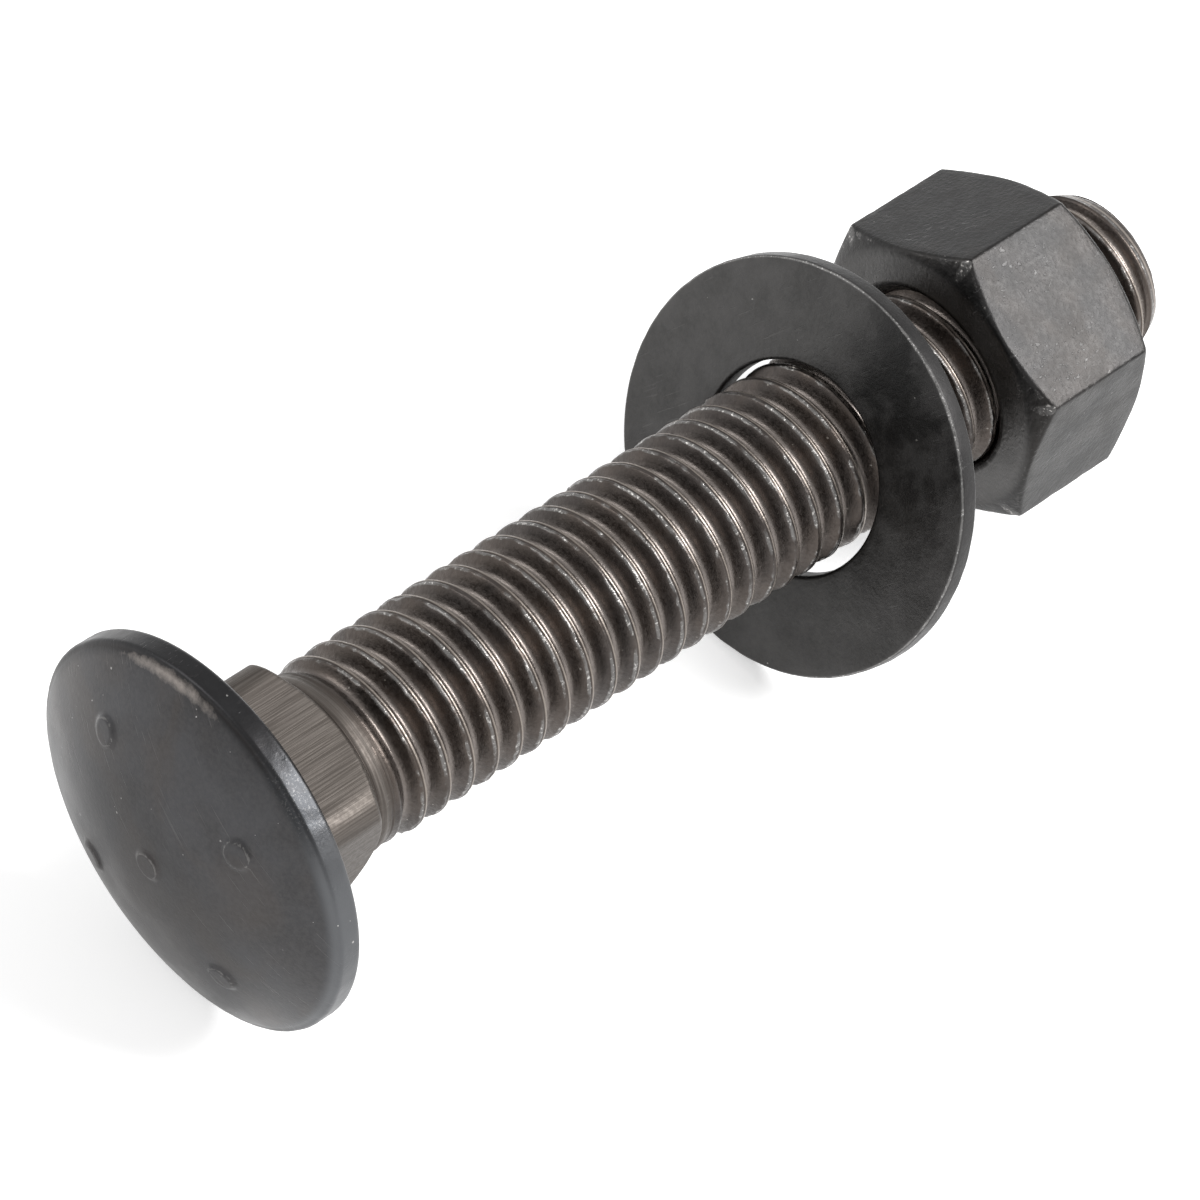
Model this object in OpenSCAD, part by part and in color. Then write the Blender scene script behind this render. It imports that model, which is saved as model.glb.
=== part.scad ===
// Carriage bolt with its flat washer and hex nut, in millimetres.
// The origin is the middle of the flat face under the head, on the shank's axis.
// +X runs along the bolt from the head to the nut, and +Z is up. The bolt lies on its side.

/* [Thread] */
// Diameter over the crests of the bolt's thread
thread_d = 12.4; // [11.4:0.1:13.4]
// Distance from one crest to the next
pitch = 1.954; // [1.6:0.001:2.2]
// Width of the flat on top of each crest
crest_w = 0.4; // [0.25:0.05:0.5]
// Width of the flat at the bottom of each groove
root_w = 0.3; // [0.2:0.05:0.4]
// Place along X of the groove that faces +Y, counted within one pitch
thread_phase = 1.31; // [0:0.01:1.95]
// Room between the bolt's thread and the nut's, measured across the crests
thread_play = 0.12; // [0.08:0.01:0.2]

/* [Bolt] */
// Length from the face under the head to the threaded end
bolt_length = 75.9; // [72:0.1:100]
// Diameter of the plain shoulder between the neck and the thread
shoulder_d = 12; // [11:0.1:12.3]
// Distance from the face under the head to the first groove
thread_start = 8.9; // [8.7:0.1:14]
// Length over which the first grooves grow to full depth
run_out = 1.6; // [1:0.1:5]
// Depth of the bevel round the threaded end
end_bevel = 0.9; // [0.3:0.1:1.2]
// Length of the bevel round the threaded end
end_taper = 2.2; // [0.5:0.1:3]

/* [Neck] */
// Width of the square neck across its flats
neck_w = 12.4; // [12.4:0.1:13.2]
// Length of the square neck along its corners
neck_l = 6.3; // [5:0.1:7]
// Rounding of the square neck's corners
neck_corner_r = 1.8; // [0.8:0.1:2.5]
// Length of the slope from the square neck down to the round shoulder
neck_slope = 1.3; // [0.6:0.1:1.8]
// Turn of the square neck about the bolt's axis, in degrees
neck_turn = 13; // [0:1:89]

/* [Head] */
// Diameter of the round head
head_d = 26.3; // [24:0.1:30]
// Height of the domed head
head_h = 4.9; // [4.2:0.1:7]
// Height of the head's upright rim, up to where it rounds into the dome
rim_h = 1.35; // [1:0.05:1.8]
// Rounding of the rim's two edges
rim_r = 0.35; // [0.2:0.05:0.5]
// How far the head is forged off the shank's axis, to the side
head_off_y = 0.42; // [-0.5:0.01:0.5]
// How far the head is forged off the shank's axis, upwards
head_off_z = 0.33; // [-0.5:0.01:0.5]
// Diameter of the plain raised dots on the dome
dot_d = 2; // [1:0.1:3]
// Height of the plain raised dots on the dome
dot_h = 0.2; // [0.1:0.05:0.4]
// Distance of the ring of dots from the middle of the dome
dot_ring_r = 8.2; // [6:0.1:9]

/* [Washer] */
// Outside diameter of the washer
washer_d = 27.1; // [24:0.1:30]
// Thickness of the washer
washer_t = 1.45; // [1.2:0.05:2.6]
// How much wider the washer's hole is than the thread
washer_slack = 1.46; // [0.8:0.02:2]
// Room kept between the washer's hole and the thread where it leans on it
washer_play = 0.1; // [0.06:0.01:0.15]
// Rounding of the washer's punched edges
washer_edge_r = 0.25; // [0.1:0.05:0.4]
// Distance from the face under the head to the middle of the washer
washer_x = 48.1; // [40:0.1:50]
// How far the washer hangs to the side of the shank's axis
washer_side = 0.3; // [0:0.05:0.4]

/* [Nut] */
// Width of the nut across its flats
nut_w = 18.7; // [18:0.1:22]
// Thickness of the nut
nut_h = 10.4; // [8:0.1:12]
// Distance from the face under the head to the nut's nearer face
nut_x = 59.9; // [57:0.1:62]
// Turn of the nut about the bolt's axis, in degrees
nut_turn = 3.3; // [0:0.1:59.9]
// Slope of the nut's corner chamfers, in degrees
nut_chamfer = 30; // [15:1:35]
// Width of the bevel at each mouth of the nut's hole
nut_mouth = 0.3; // [0.1:0.1:0.8]

/* [Hidden] */
$fn = 96;
// straight steps in one turn of the thread
thread_steps = 32;
// flank angle of the thread, measured from a plane across the axis
flank = 30;
// extra length given to tools that cut right through
past = 1;

crest_r = thread_d / 2;
groove_depth = (pitch - crest_w - root_w) / 2 / tan(flank);
root_r = crest_r - groove_depth;
shoulder_r = min(shoulder_d / 2, crest_r);
// the thread starts a little inside the shoulder, and just under its surface
sunk = 0.5;
under = 0.02;

neck_end = neck_l + neck_slope;
// reach of the neck's rounded corners from the axis
neck_reach = neck_w / 2 * sqrt(2) - neck_corner_r * (sqrt(2) - 1);

head_r = head_d / 2;
dome_rise = head_h - rim_h;
// the dome's ball runs smoothly into the rounding of the rim's upper edge
dome_ball = (dome_rise * dome_rise + pow(head_r - rim_r, 2) - rim_r * rim_r) / (2 * (dome_rise - rim_r));
dome_r = dome_ball * sin(atan2(head_r - rim_r, dome_ball - dome_rise));
// how deep the dots are rooted in the dome
dot_root = 1;

washer_r = washer_d / 2;
hole_r = crest_r + washer_slack / 2;
// The washer leans until its hole meets the thread at the top and the bottom, less the play,
// and it hangs lower than the axis by the same play
washer_lean = lean(2 * hole_r, washer_t, 2 * (crest_r + washer_play));

// the tap's crests are wider than the bolt's, so the flanks keep clear too
flank_share = 0.4;
flank_play = flank_share * thread_play;
corner_r = nut_w / 2 / cos(30);
// width of the flat ring left on each face of the nut, as a share of the nut's width
nut_face_share = 0.97;
nut_face_r = nut_face_share * nut_w / 2;

// Angle at which a plate of thickness t, with a hole of diameter d, just passes a rod of diameter rod
function lean(d, t, rod) = acos(rod / sqrt(d * d + t * t)) - atan(t / d);

// Points of one straight row along the thread, at step i of the turn.
// Each turn has four: both edges of the groove's bottom and both edges of the crest.
function thread_row(i, x_from, x_to, crest, root, crest_flat, root_flat, plain, grow) =
    let (
        angle = 360 * i / thread_steps,
        first = ceil((x_from + root_flat - thread_phase) / pitch),
        last = floor((x_to - thread_phase) / pitch) - 2,
        offsets = [-root_flat / 2, root_flat / 2, (pitch - crest_flat) / 2, (pitch + crest_flat) / 2],
        radii = [root, root, crest, crest]
    )
    concat(
        [on_ring(x_from, plain, angle)],
        [for (turn = [first:last]) for (k = [0:3])
            let (
                x = thread_phase + pitch * (turn + i / thread_steps) + offsets[k],
                grown = grow == 0 ? 1 : min(1, max(0, (x - thread_start) / grow))
            )
            on_ring(x, plain + grown * (radii[k] - plain), angle)],
        [on_ring(x_to, plain, angle)]
    );

function on_ring(x, r, angle) = [x, r * cos(angle), r * sin(angle)];

// A rod with a right-hand thread along X, from x_from to x_to
module threaded_rod(x_from, x_to, crest, root, crest_flat, root_flat, plain, grow) {
    rows = [for (i = [0:thread_steps - 1])
        thread_row(i, x_from, x_to, crest, root, crest_flat, root_flat, plain, grow)];
    count = len(rows[0]);
    points = [for (row = rows) each row];
    last_row = (thread_steps - 1) * count;
    between_rows = [for (i = [0:thread_steps - 2]) for (j = [0:count - 2])
        let (a = i * count + j, b = a + count)
        each [[a, a + 1, b + 1], [a, b + 1, b]]];
    // the last row meets the first one a whole turn further on, which is four points
    closing = [for (j = [1:count - 7])
        let (a = last_row + j, b = j + 4)
        each [[a, a + 1, b + 1], [a, b + 1, b]]];
    closing_start = [for (j = [0:4]) [last_row + 1, j + 1, j]];
    closing_end = [for (j = [count - 6:count - 2]) [count - 2, last_row + j, last_row + j + 1]];
    ends = [
        [last_row, last_row + 1, 0],
        [count - 2, last_row + count - 1, count - 1],
        [for (i = [0:thread_steps - 1]) i * count],
        [for (i = [thread_steps - 1:-1:0]) i * count + count - 1]
    ];
    polyhedron(points, concat(between_rows, closing, closing_start, closing_end, ends), convexity = 10);
}

module along_x() {
    rotate([0, 90, 0]) children();
}

// Section of the head, with its radius along x and the bolt's axis along y
module head_section() {
    translate([0, -rim_h]) square([head_r - rim_r, rim_h]);
    translate([0, -rim_h]) square([head_r, rim_h - rim_r]);
    for (y = [-rim_r, -rim_h]) translate([head_r - rim_r, y]) circle(rim_r);
    intersection() {
        translate([0, dome_ball - head_h]) circle(dome_ball);
        translate([0, -head_h]) square([dome_r, dome_rise]);
    }
}

// A raised dot that stands square on the dome, ring away from its middle
module dome_dot(ring, angle) {
    translate([dome_ball - head_h, 0, 0]) rotate([angle, 0, 0]) rotate([0, asin(ring / dome_ball), 0])
        translate([-dome_ball - dot_h, 0, 0])
            along_x() cylinder(d = dot_d, h = dot_h + dot_root);
}

module head() {
    translate([0, head_off_y, head_off_z]) {
        along_x() rotate_extrude() head_section();
        dome_dot(0, 0);
        for (angle = [45:90:315]) dome_dot(dot_ring_r, angle);
    }
}

module neck_outline() {
    inner = neck_w - 2 * neck_corner_r;
    square([neck_w, inner], center = true);
    square([inner, neck_w], center = true);
    for (y = [-1, 1]) for (z = [-1, 1])
        translate([y * inner / 2, z * inner / 2]) circle(neck_corner_r);
}

module neck() {
    intersection() {
        rotate([neck_turn, 0, 0]) along_x()
            translate([0, 0, -rim_r]) linear_extrude(neck_end + rim_r) neck_outline();
        along_x() translate([0, 0, -rim_r]) rotate_extrude() polygon([
            [0, 0],
            [neck_reach + past, 0],
            [neck_reach + past, neck_l + rim_r - past * neck_slope / (neck_reach - shoulder_r)],
            [shoulder_r, neck_end + rim_r],
            [0, neck_end + rim_r]
        ]);
    }
}

module shank() {
    along_x() cylinder(r = shoulder_r, h = thread_start);
    threaded_rod(thread_start - sunk, bolt_length + 3 * pitch,
        crest_r, root_r, crest_w, root_w, shoulder_r - under, run_out);
}

// What is cut off past the bolt's end, with its bevel
module end_cutter() {
    reach = crest_r + past;
    along_x() rotate_extrude() polygon([
        [0, bolt_length],
        [crest_r - end_bevel, bolt_length],
        [reach, bolt_length - end_taper * (1 + past / end_bevel)],
        [reach, bolt_length + 4 * pitch],
        [0, bolt_length + 4 * pitch]
    ]);
}

module bolt() {
    color([0.17, 0.16, 0.16]) difference() {
        union() {
            head();
            neck();
            shank();
        }
        end_cutter();
    }
}

// Section of the washer, with its radius along x and its thickness along y
module washer_section() {
    width = washer_r - hole_r;
    for (side = [-1, 1]) {
        translate([hole_r + width / 2 + side * (width / 2 - washer_edge_r), 0]) {
            translate([0, washer_t / 2 - washer_edge_r]) circle(washer_edge_r);
            translate([0, washer_edge_r - washer_t / 2]) circle(washer_edge_r);
        }
    }
    translate([hole_r + washer_edge_r, -washer_t / 2]) square([width - 2 * washer_edge_r, washer_t]);
    translate([hole_r, washer_edge_r - washer_t / 2]) square([width, washer_t - 2 * washer_edge_r]);
}

module washer() {
    color([0.2, 0.2, 0.2])
        translate([washer_x, -washer_side, -washer_play]) rotate([0, washer_lean, 0])
            along_x() rotate_extrude() washer_section();
}

// The round shape that the nut's corners are turned down to
module nut_envelope() {
    reach = corner_r + past;
    fall = (reach - nut_face_r) * tan(nut_chamfer);
    along_x() rotate_extrude() polygon([
        [0, 0],
        [nut_face_r, 0],
        [reach, fall],
        [reach, nut_h - fall],
        [nut_face_r, nut_h],
        [0, nut_h]
    ]);
}

// The bevel at one mouth of the nut's hole
module nut_mouth_cutter() {
    wide = crest_r + thread_play + nut_mouth;
    along_x() translate([0, 0, -past])
        cylinder(r1 = wide + past, r2 = root_r, h = past + wide - root_r);
}

module nut() {
    color([0.24, 0.24, 0.25]) difference() {
        translate([nut_x, 0, 0]) rotate([nut_turn, 0, 0]) intersection() {
            along_x() cylinder(r = corner_r, h = nut_h, $fn = 6);
            nut_envelope();
        }
        threaded_rod(nut_x - 3 * pitch, nut_x + nut_h + 3 * pitch,
            crest_r + thread_play, root_r + thread_play,
            crest_w + 2 * flank_play, root_w - 2 * flank_play, root_r + thread_play, 0);
        translate([nut_x, 0, 0]) nut_mouth_cutter();
        translate([nut_x + nut_h, 0, 0]) mirror([1, 0, 0]) nut_mouth_cutter();
    }
}

bolt();
washer();
nut();
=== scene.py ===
# %% [markdown]
# # A carriage bolt with its washer and nut
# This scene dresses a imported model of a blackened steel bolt, in the model's own
# frame and in metres. We build a finer skin for each of its three pieces, give
# each skin a finish made of nodes, and then set a floor, soft lamps and a camera.

# %% Load the frame
import math

import bmesh
import bpy
import numpy as np
from mathutils import Matrix, Quaternion, Vector, noise


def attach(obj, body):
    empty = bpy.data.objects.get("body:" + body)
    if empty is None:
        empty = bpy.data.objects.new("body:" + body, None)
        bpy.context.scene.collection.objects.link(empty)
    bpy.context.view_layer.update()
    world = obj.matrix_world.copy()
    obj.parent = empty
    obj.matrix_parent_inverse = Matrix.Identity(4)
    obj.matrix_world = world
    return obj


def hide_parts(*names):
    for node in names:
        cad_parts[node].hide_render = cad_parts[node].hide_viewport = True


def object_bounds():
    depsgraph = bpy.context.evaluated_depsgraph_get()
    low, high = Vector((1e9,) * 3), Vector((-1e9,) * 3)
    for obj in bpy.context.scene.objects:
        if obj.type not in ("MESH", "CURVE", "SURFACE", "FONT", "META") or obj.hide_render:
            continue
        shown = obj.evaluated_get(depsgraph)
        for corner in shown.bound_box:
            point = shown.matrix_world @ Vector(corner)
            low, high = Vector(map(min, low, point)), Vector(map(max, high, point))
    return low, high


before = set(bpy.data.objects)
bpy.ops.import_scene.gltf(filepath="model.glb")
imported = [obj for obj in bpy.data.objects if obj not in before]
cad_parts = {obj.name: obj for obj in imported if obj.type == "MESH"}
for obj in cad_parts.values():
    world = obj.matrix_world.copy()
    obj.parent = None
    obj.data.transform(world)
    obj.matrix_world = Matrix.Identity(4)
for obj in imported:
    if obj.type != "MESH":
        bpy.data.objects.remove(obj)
cad_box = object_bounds()
print("CAD box", [round(value, 5) for corner in cad_box for value in corner])

# %% [markdown]
# ## Camera
# The camera stands where the photographer stood: high, in front of the bolt's
# right side, with a long lens. We give it as a point that it looks at, a
# distance and three angles, because those are easier to read and to change
# than a matrix.

# %% Camera
MM = 0.001
aim = Vector((30.782, -0.63, -0.345)) * MM
distance = 391.63 * MM
azimuth = math.radians(38.637)
elevation = math.radians(48.76)
roll = math.radians(10.516)

forward = Vector((
    math.cos(elevation) * math.cos(azimuth),
    math.cos(elevation) * math.sin(azimuth),
    -math.sin(elevation),
))
level = forward.to_track_quat("-Z", "Y")
tilted = level @ Quaternion((0, 0, 1), roll)

camera_data = bpy.data.cameras.new("camera")
camera_data.lens = 191.915
camera_data.sensor_width = 36
camera_data.clip_start = 0.01
camera_data.clip_end = 10
camera = bpy.data.objects.new("camera", camera_data)
camera.matrix_world = Matrix.Translation(aim - distance * forward) @ tilted.to_matrix().to_4x4()
bpy.context.collection.objects.link(camera)
bpy.context.scene.camera = camera
print("camera at", [round(value, 4) for value in camera.matrix_world.translation])

# %% [markdown]
# ## Sizes
# These are the bolt's own sizes in millimetres, the same ones that its solid
# model was drawn from. A skin that is made from the same sizes lies on the
# solid without any fitting.

# %% Sizes in millimetres
pitch = 1.954
crest_r = 6.2
crest_softness = 0.12
crest_flat = 0.4
root_flat = 0.3
flank_angle = math.radians(30)
root_r = crest_r - (pitch - crest_flat - root_flat) / 2 / math.tan(flank_angle)
thread_phase = 1.31
thread_start = 8.9
# the thread's skin begins a little inside the neck's
thread_from = thread_start - 0.4
run_out = 1.6
bolt_end = 75.9
end_bevel = 0.9
end_taper = 2.2
end_r = crest_r - end_bevel - 0.05
shoulder_r = 6.0
print("groove depth", round(crest_r - root_r, 3), "mm")

# %% [markdown]
# ## From rows of points to a mesh
# Every piece here is a skin that can be laid out as a grid: rows that run
# along the piece, repeated round its axis. One helper joins such a grid into
# quads. It closes the grid round the axis, and it can shift that last seam by
# some points, which is what a thread needs, because one turn later it is one
# pitch further on. Rows that run towards the bolt's end get quads that face
# away from the axis. A skin that needs the other side turns them over.

# %% Grid to faces
def grid_faces(rows, columns, shift=0):
    """Quads between neighbouring rows, and from the last row to the first, shift points on."""
    row = np.arange(rows - 1)[:, None] * columns
    column = np.arange(columns - 1)[None, :]
    a = (row + column).ravel()
    inner = np.stack([a + columns, a + columns + 1, a + 1, a], axis=1)
    last = (rows - 1) * columns + np.arange(columns - 1 - shift)
    first = np.arange(columns - 1 - shift) + shift
    seam = np.stack([first, first + 1, last + 1, last], axis=1)
    return np.concatenate([inner, seam])


print("3 rows of 4 points make", len(grid_faces(3, 4)), "quads")

# %% [markdown]
# A mesh is then made from the points, and each number that a material needs,
# such as where the thread's lips are, is kept with the mesh as an attribute.
# Points that fell on the same place are merged, so the mesh is closed and has
# no slivers.

# %% Mesh from points
merged_within = 0.002
sliver_below = 0.0005


def close_mesh(mesh):
    """Merges points that lie on each other."""
    work = bmesh.new()
    work.from_mesh(mesh)
    bmesh.ops.remove_doubles(work, verts=work.verts, dist=merged_within * MM)
    bmesh.ops.dissolve_degenerate(work, edges=work.edges, dist=sliver_below * MM)
    work.to_mesh(mesh)
    work.free()


def make_piece(name, points, faces, attributes):
    """A smooth mesh object from points in millimetres and quads, with float attributes."""
    mesh = bpy.data.meshes.new(name)
    mesh.from_pydata((points.reshape(-1, 3) * MM).tolist(), [], faces.tolist())
    for key, values in attributes.items():
        kept_numbers = mesh.attributes.new(key, "FLOAT", "POINT")
        kept_numbers.data.foreach_set("value", np.asarray(values, dtype=np.float32).ravel())
    close_mesh(mesh)
    mesh.shade_smooth()
    piece = bpy.data.objects.new(name, mesh)
    bpy.context.collection.objects.link(piece)
    print(name, len(mesh.vertices), "points", len(mesh.polygons), "faces")
    return piece


print("points closer than", merged_within, "mm are merged")

# %% [markdown]
# Real steel is never quite true: edges are nicked and surfaces wander by a few
# hundredths of a millimetre. Smooth noise, read at each point, gives such
# wander. It is the same each time, because it depends on the place alone.

# %% Wander
def wander(points, size, seed):
    """Smooth noise from -1 to 1 at points in millimetres, with features of that size."""
    offset = Vector((seed * 17.3, seed * 5.1, seed * 9.7))
    found = [noise.noise(Vector(point) / size + offset) for point in points.reshape(-1, 3)]
    return np.array(found).reshape(points.shape[:-1])


def smooth_step(value, low, high):
    """0 below low, 1 above high and a soft rise between them."""
    t = np.clip((value - low) / (high - low), 0, 1)
    return t * t * (3 - 2 * t)


def round_points(x, radius, angle):
    """Points at a place along the bolt, a radius and an angle from +Y towards +Z."""
    return np.stack([x, radius * np.cos(angle), radius * np.sin(angle)], axis=-1)


def whole_turn(rows):
    """Angles at even steps round the axis."""
    return np.arange(rows) * 2 * math.pi / rows


print("halfway up the rise", smooth_step(0.5, 0, 1))

# %% [markdown]
# ## The thread
# The thread is rolled, not cut: two dies press a groove into the blank and the
# metal rises between them until it meets in a narrow seam on top of each
# crest. So a crest has two lips with a faint seam between them, which comes
# and goes. The lip away from the head is smooth and round. The lip towards the
# head is a little lower and rough, with nicks and crumbs of bright metal. A
# screw modifier could sweep a section, but it can't fade the groove in at the
# shoulder or bevel it at the end. Here the radius is a formula of the place and
# the angle, so both are one line each.

# %% Thread profile
thread_rows = 120
crest_edge = crest_flat / 2
groove_edge = pitch / 2 - root_flat / 2
# distances from the middle of a crest at which a row has its points
one_side = np.array([0.0, 0.035, 0.08, 0.13, 0.18, 0.23, 0.29, 0.37, 0.52, 0.68, 0.8])
across = np.concatenate([-one_side[:0:-1], one_side, [pitch / 2]])
print(len(across), "points across one pitch")


def soft_min(a, b, softness):
    """The smaller of two values, with a rounded change from one to the other."""
    gap = np.clip(0.5 + 0.5 * (b - a) / softness, 0, 1)
    return b + (a - b) * gap - softness * gap * (1 - gap)


def thread_height(distance_mm, crest, root, crest_half, groove_half, softness):
    """Radius of the thread at a distance from the middle of its crest."""
    steepness = (crest - root) / (groove_half - crest_half)
    flank = crest - (distance_mm - crest_half) * steepness
    return np.maximum(soft_min(crest, flank, softness), root)

# %% Thread rows
first_crest = thread_phase + pitch / 2


def thread_grid(turns, angles, offsets):
    """Places along the bolt, angles and signed distances from the crest, for each row."""
    steps = (turns[:, None] * pitch + offsets[None, :]).ravel()
    side = np.tile(offsets, len(turns))
    x = first_crest + steps[None, :] + pitch * angles[:, None] / (2 * math.pi)
    return x, np.broadcast_to(angles[:, None], x.shape), np.broadcast_to(side[None, :], x.shape)


# two turns more at each end, so that every row reaches past both
first_turn = math.ceil((thread_from - first_crest) / pitch) - 2
end_turn = math.ceil((bolt_end - first_crest) / pitch) + 2
x, angle, side = thread_grid(np.arange(first_turn, end_turn), whole_turn(thread_rows), across)
distance_mm = np.abs(side)
radius = thread_height(distance_mm, crest_r, root_r, crest_edge, groove_edge, crest_softness)
print("thread grid", x.shape)

# %% [markdown]
# The rolled seam and the nicks come next. A number from 0 to 1 says where each
# lip lies, and both the shape and the finish use it. The rough lip is bitten
# by noise of about half a millimetre, and now and then a crumb stands on it.

# %% Seam and nicks on the crest
seam_depth = 0.05
seam_width = 0.045
near_lip_drop = 0.02
near_nick_depth = 0.13
far_nick_depth = 0.12
crumb_height = 0.1
crumb_limit = crest_r + 0.03

plain_thread = round_points(x, radius, angle)
bites = wander(plain_thread, 0.6, 1)
fine_bites = wander(plain_thread, 0.25, 2)
slow = wander(plain_thread, 2.6, 3)
seam_line = -0.01 + 0.05 * slow
seam = np.exp(-((side - seam_line) / seam_width) ** 2) * smooth_step(slow, -0.7, 0.7)
near_lip = smooth_step(side, -0.33, -0.2) * (1 - smooth_step(side, -0.08, 0.02))
far_lip = smooth_step(side, 0.02, 0.08) * (1 - smooth_step(side, 0.2, 0.32))
radius = radius - seam_depth * seam * (0.8 + 0.4 * slow)
radius = radius - near_lip * (near_lip_drop + near_nick_depth * np.clip(bites + 0.3 * slow, 0, 1))
radius = radius + near_lip * (1 - seam) * fine_bites * 0.03
radius = radius - far_lip * far_nick_depth * np.clip(bites - 0.35, 0, 1)
radius = radius + (1 - near_lip - far_lip) * bites * 0.004
crumbs = smooth_step(fine_bites + 0.5 * bites, 0.62, 0.8) * near_lip
radius = np.minimum(radius + crumb_height * crumbs, crumb_limit)
rubbed_lip = near_lip * (0.35 + 0.65 * smooth_step(bites + 1.5 * slow, -0.5, 0.4))
print("deepest nick", round(float((crest_r - radius[near_lip > 0.9]).max()), 3), "mm")

# %% [markdown]
# At the head end the groove grows out of the plain shoulder over about one
# and a half millimetres. At the far end the bolt is bevelled, so the radius is
# held under a cone, and points past the end are pulled back onto it.

# %% Run-out and bevelled end
grown = np.clip((x - thread_start) / run_out, 0, 1)
plain_r = shoulder_r - 0.12
radius = plain_r + grown * (radius - plain_r)
cone = crest_r - end_bevel + (bolt_end - x) * end_bevel / end_taper
radius = np.minimum(radius, cone + 0.02 * slow)
past_start = x < thread_from
past_end = x > bolt_end
x = np.clip(x, thread_from, bolt_end)
radius = np.where(past_start, plain_r - 0.03, radius)
radius = np.where(past_end, end_r, radius)
thread_points = round_points(x, radius, angle).reshape(-1, 3)
thread_faces = grid_faces(thread_rows, x.shape[1], shift=len(across))
print("thread from", thread_from, "to", bolt_end, "mm")

# %% [markdown]
# The end of the bolt is closed by rings that shrink to the middle. A sheared
# end is not flat: it is a few hundredths of a millimetre rough and slightly
# dished.

# %% Closed end
def disc(x_mm, rim, rows, rings, dish, roughness):
    """Rings of points from a rim to the axis, with their quads."""
    share = np.linspace(1, 0, rings) ** 0.8
    r = share[None, :] * np.full((rows, 1), rim)
    a = np.broadcast_to(whole_turn(rows)[:, None], r.shape)
    points = round_points(np.full(r.shape, x_mm), r, a)
    rough = wander(points, 0.8, 5) * roughness * (1 - share[None, :] ** 6)
    sink = dish * (1 - share[None, :] ** 2)
    points[..., 0] -= sink + np.abs(rough)
    return points.reshape(-1, 3), grid_faces(rows, rings)


end_points, end_faces = disc(bolt_end, end_r, thread_rows, rings=22, dish=0.12, roughness=0.08)
print("end of the bolt", len(end_points), "points")

# %% Thread and end as one piece
def with_end(values, at_end=0.0):
    """A number that fades in with the thread, and one value for the points of the end."""
    return np.concatenate([(grown * values).ravel(), np.full(len(end_points), at_end)])


bolt_thread = make_piece(
    "bolt_thread",
    np.concatenate([thread_points, end_points]),
    np.concatenate([thread_faces, end_faces + len(thread_points)]),
    {
        "seam": with_end(seam),
        "near_lip": with_end(rubbed_lip, 0.5),
        "far_lip": with_end(far_lip),
        "root": with_end(smooth_step(distance_mm, 0.5, 0.8)),
    },
)

# %% [markdown]
# ## The neck
# Under the head the bolt is square, so that it can't turn in wood. The square
# is forged, so its corners are round, and its flats run out over a short slope
# into the round shoulder. There the metal has flowed into a shallow valley and
# a soft collar in front of the thread. Seen along the bolt, every section is a
# closed curve round the axis, so the neck is one grid: for each angle the
# smaller of the square's radius and the slope's.

# %% Radius of a rounded polygon
def polygon_radius(angle, sides, flat, corner):
    """Distance from the axis to a polygon with round corners; flat is its half width."""
    half = math.pi / sides
    to_flat = np.abs((angle + half) % (2 * half) - half)
    to_corner = half - to_flat
    straight = flat / np.cos(to_flat)
    centre = (flat - corner) / math.cos(half)
    inside = np.clip(corner ** 2 - (centre * np.sin(to_corner)) ** 2, 0, None)
    arc = centre * np.cos(to_corner) + np.sqrt(inside)
    turned = math.atan((flat - corner) * math.tan(half) / flat)
    return np.where(to_flat > turned, arc, straight)


print("a square of 10 reaches", round(float(polygon_radius(math.pi / 4, 4, 5, 1)), 2), "at its corner")

# %% Neck sizes
neck_half = 6.2
neck_length = 6.3
neck_corner = 1.8
neck_slope = 1.3
neck_turn = math.radians(13)
neck_reach = neck_half * math.sqrt(2) - neck_corner * (math.sqrt(2) - 1)
neck_end = neck_length + neck_slope
neck_rows = 256
valley_depth = 0.12
ripple_height = 0.012
neck_bite = 0.03
print("the neck reaches", round(neck_reach, 2), "mm at its corners")

# %% Neck
neck_x = np.concatenate([
    np.linspace(-0.6, 5.4, 40),
    np.linspace(5.45, 8.2, 56),
    np.linspace(8.25, thread_start + 0.15, 24),
])
px, pa = np.meshgrid(neck_x, whole_turn(neck_rows))
square = polygon_radius(pa - neck_turn, 4, neck_half, neck_corner)
slope = shoulder_r + (neck_reach - shoulder_r) * (neck_end - px) / neck_slope
forged = soft_min(square, np.maximum(slope, shoulder_r - 0.5), 0.35)
valley = np.exp(-((px - neck_end + 0.05) / 0.22) ** 2)
ripple = np.sin((px - neck_end) * 21) * smooth_step(px, neck_end + 0.75, neck_end + 0.95)
lowered = 0.1 * smooth_step(px, neck_end + 0.55, neck_end + 1.0)
collar = shoulder_r - valley_depth * valley - lowered + ripple_height * ripple
neck_radius = -soft_min(-forged, -collar, 0.08)
neck_radius = np.where(px > thread_start + 0.1, shoulder_r - 0.3, neck_radius)
neck_points = round_points(px, neck_radius, pa)
neck_wander = wander(neck_points * np.array([0.25, 1, 1]), 1.1, 7)
neck_radius = neck_radius - neck_bite * np.clip(neck_wander, 0, 1)
bolt_neck = make_piece(
    "bolt_neck",
    round_points(px, neck_radius, pa),
    grid_faces(neck_rows, len(neck_x)),
    {
        "collar": smooth_step(px, neck_end - 0.25, neck_end + 0.15),
        # painted shade in the valley and in the low band before the thread
        "valley": valley + 0.8 * smooth_step(px, neck_end + 0.8, neck_end + 1.2),
    },
)

# %% [markdown]
# ## The head
# The head is a low dome on an upright rim. It is turned round its axis, so a
# section is enough: the flat underside, the rounding of the rim's lower edge,
# the rim, its upper rounding and the dome's ball. Five plain raised dots mark
# the dome. They are pushed up along the ball's own normals, with soft flanks
# as a worn die leaves them.

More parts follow.
